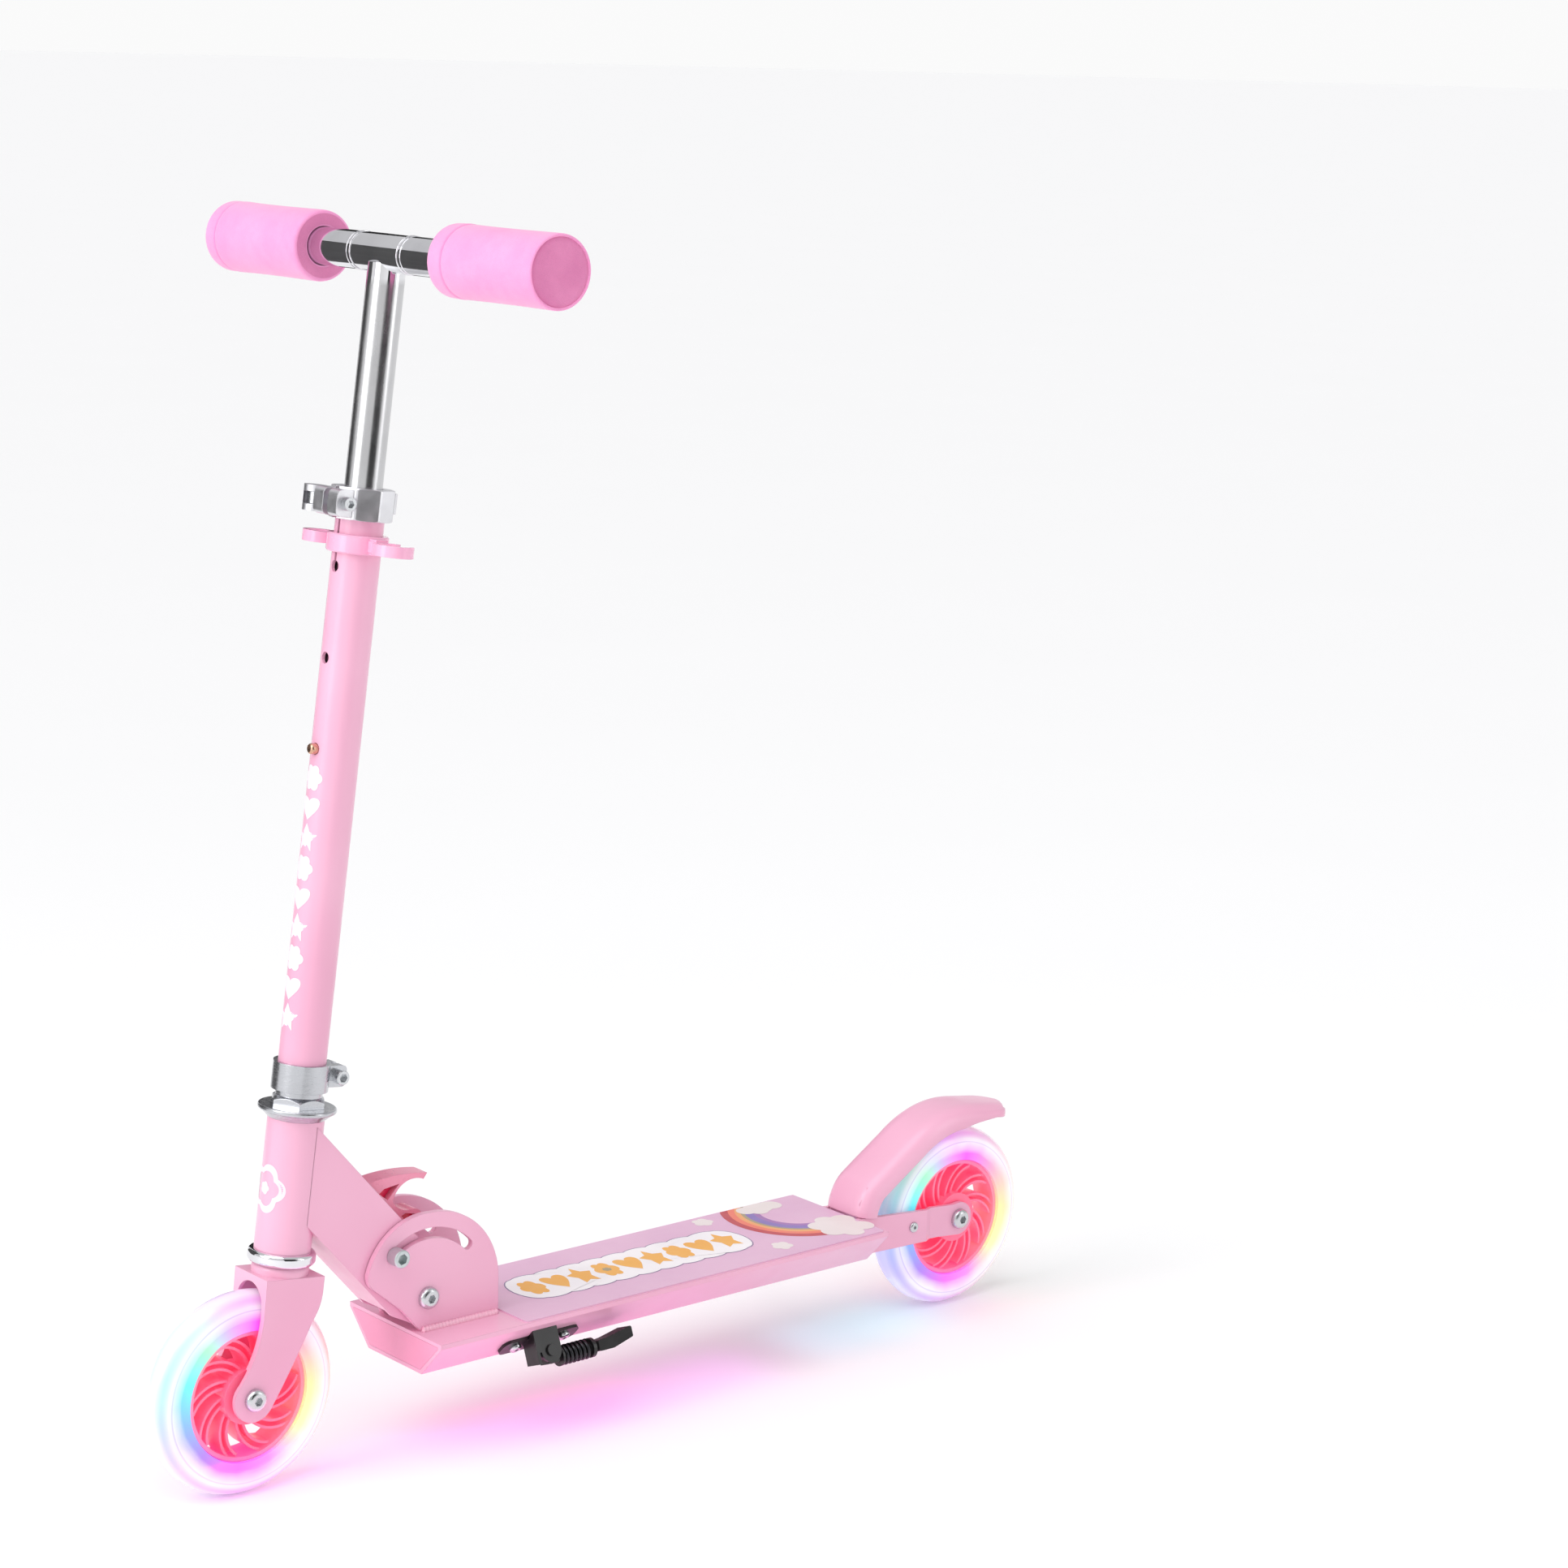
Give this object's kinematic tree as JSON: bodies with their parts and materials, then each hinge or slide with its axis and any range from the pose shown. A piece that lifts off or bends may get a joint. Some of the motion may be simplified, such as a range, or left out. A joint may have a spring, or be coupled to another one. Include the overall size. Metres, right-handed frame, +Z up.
{
  "type": "kick scooter",
  "caption": "Folding children's kick scooter with light-up clear wheels, height-adjustable T handlebar with removable foam-grip halves, sprung fender brake and swing-out kickstand.",
  "frame": {"origin": "on the ground, halfway between the two axles, in the middle plane", "axes": "+X forward, +Y to the rider's left, +Z up"},
  "size_m": [0.696, 0.3262, 0.75],
  "materials": {
    "frame_paint": "glossy pink powder coat",
    "cap_paint": "glossy deeper pink powder coat",
    "deck_print": "printed grip sheet, satin lilac pink",
    "foam": "soft closed-cell foam, matt",
    "chrome": "bright chromium plate",
    "cast_alloy": "satin cast alloy",
    "zinc_steel": "bright zinc plate",
    "inner_steel": "plain steel",
    "clear_tyre": "clear polyurethane",
    "hub_plastic": "moulded coral pink",
    "clip_plastic": "moulded pink",
    "latch_plastic": "moulded coral pink",
    "lamp": "lamp strip",
    "magnet": "dark magnet sleeve",
    "guide_plastic": "white guide plastic",
    "copper": "copper-coloured button",
    "black_paint": "black powder coat",
    "black_rubber": "black moulded grip",
    "spring_steel": "blackened spring wire"
  },
  "bodies": {
    "root": {"deck_shell": "frame_paint", "deck_front_cap": "cap_paint", "deck_sheet": "deck_print", "fold_cheek_left": "frame_paint", "fold_cheek_right": "frame_paint", "pivot_bolt": "zinc_steel", "rear_fork": "frame_paint", "arm_screws": "zinc_steel", "rear_axle_bolt": "zinc_steel", "rear_magnet_core": "magnet", "fender_pin": "zinc_steel", "kickstand_bracket": "black_paint", "kickstand_screws": "zinc_steel", "kickstand_pin": "black_paint"},
    "neck": {"head_tube": "frame_paint", "neck_channel": "frame_paint", "lower_cup": "chrome", "upper_cup": "cast_alloy", "headset_bearings": "inner_steel", "latch_pin": "zinc_steel"},
    "latch": {"latch_lever": "latch_plastic", "lock_pin": "zinc_steel"},
    "steering": {"fork": "frame_paint", "steerer_tube": "inner_steel", "flange_washer": "chrome", "locknut": "cast_alloy", "stem_tube": "frame_paint", "lower_collar": "cast_alloy", "collar_bolt": "zinc_steel", "stem_shim": "guide_plastic", "clamp_collar": "cast_alloy", "clamp_bolt": "zinc_steel", "clip_holder": "clip_plastic", "front_axle_bolt": "zinc_steel", "front_axle_spacers": "zinc_steel", "front_magnet_core": "magnet"},
    "quick_lever": {"clamp_lever": "cast_alloy"},
    "t_bar": {"t_tube": "chrome", "t_tube_bush": "guide_plastic", "height_spring": "inner_steel"},
    "height_snap": {"height_button": "copper"},
    "bar_half_left": {"bar_left": "chrome", "grip_left": "foam"},
    "bar_half_right": {"bar_right": "chrome", "grip_right": "foam"},
    "bar_snap_left": {"bar_button_left": "copper"},
    "bar_snap_right": {"bar_button_right": "copper"},
    "front_wheel": {"front_tyre": "clear_tyre", "front_hub": "hub_plastic", "front_wheel_bearings": "inner_steel", "front_led_ring": "lamp"},
    "rear_wheel": {"rear_tyre": "clear_tyre", "rear_hub": "hub_plastic", "rear_wheel_bearings": "inner_steel", "rear_led_ring": "lamp"},
    "brake": {"fender": "frame_paint", "fender_spring": "inner_steel"},
    "kickstand": {"kickstand_leg": "black_paint", "kickstand_foot": "black_rubber", "kickstand_spring": "spring_steel"}
  },
  "joints": [
    {"name": "fold", "type": "hinge", "parent": "root", "child": "neck", "pos_m": [0.1641, 0, 0.1015], "axis": [0, -1, 0], "range_deg": [0, 83]},
    {"name": "latch_press", "type": "hinge", "parent": "neck", "child": "latch", "pos_m": [0.17936, 0, 0.14278], "axis": [0, -1, 0], "range_deg": [0, 5], "stiffness_Nm_per_rad": 1.5, "springref_deg": -5.73},
    {"name": "steer", "type": "hinge", "parent": "neck", "child": "steering", "pos_m": [0.25329, 0, 0.15926], "axis": [-0.1236, 0, 0.9923], "range_deg": [-90, 90]},
    {"name": "front_wheel_spin", "type": "hinge", "parent": "steering", "child": "front_wheel", "pos_m": [0.2855, 0, 0.0625], "axis": [0, 1, 0], "continuous": true},
    {"name": "rear_wheel_spin", "type": "hinge", "parent": "root", "child": "rear_wheel", "pos_m": [-0.2855, 0, 0.0625], "axis": [0, 1, 0], "continuous": true},
    {"name": "clamp_open", "type": "hinge", "parent": "steering", "child": "quick_lever", "pos_m": [0.21863, -0.0205, 0.58726], "axis": [-0.1236, 0, 0.9923], "range_deg": [0, 100]},
    {"name": "bar_height", "type": "slide", "parent": "steering", "child": "t_bar", "axis": [-0.1236, 0, 0.9923], "range_m": [-0.118, 0.1069], "deforming": ["height_button"]},
    {"name": "height_press", "type": "slide", "parent": "t_bar", "child": "height_snap", "axis": [-0.9923, 0, -0.1236], "range_m": [0, 0.0045], "stiffness_N_per_m": 900, "springref_m": -0.002, "deforming": ["height_spring"]},
    {"name": "bar_pull_left", "type": "slide", "parent": "t_bar", "child": "bar_half_left", "axis": [0, 1, 0], "range_m": [0, 0.035], "deforming": ["bar_button_left"]},
    {"name": "bar_pull_right", "type": "slide", "parent": "t_bar", "child": "bar_half_right", "axis": [0, -1, 0], "range_m": [0, 0.035], "deforming": ["bar_button_right"]},
    {"name": "bar_press_left", "type": "slide", "parent": "bar_half_left", "child": "bar_snap_left", "axis": [0.9923, 0, 0.1236], "range_m": [0, 0.0035], "stiffness_N_per_m": 900, "springref_m": -0.002},
    {"name": "bar_press_right", "type": "slide", "parent": "bar_half_right", "child": "bar_snap_right", "axis": [0.9923, 0, 0.1236], "range_m": [0, 0.0035], "stiffness_N_per_m": 900, "springref_m": -0.002},
    {"name": "brake_press", "type": "hinge", "parent": "root", "child": "brake", "pos_m": [-0.201, 0, 0.068], "axis": [0, -1, 0], "range_deg": [0, 8], "stiffness_Nm_per_rad": 4, "springref_deg": -5.73},
    {"name": "kickstand_swing", "type": "hinge", "parent": "root", "child": "kickstand", "pos_m": [0.091, 0.0435, 0.058], "axis": [0, -0.9272, -0.3746], "range_deg": [0, 86]}
  ]
}
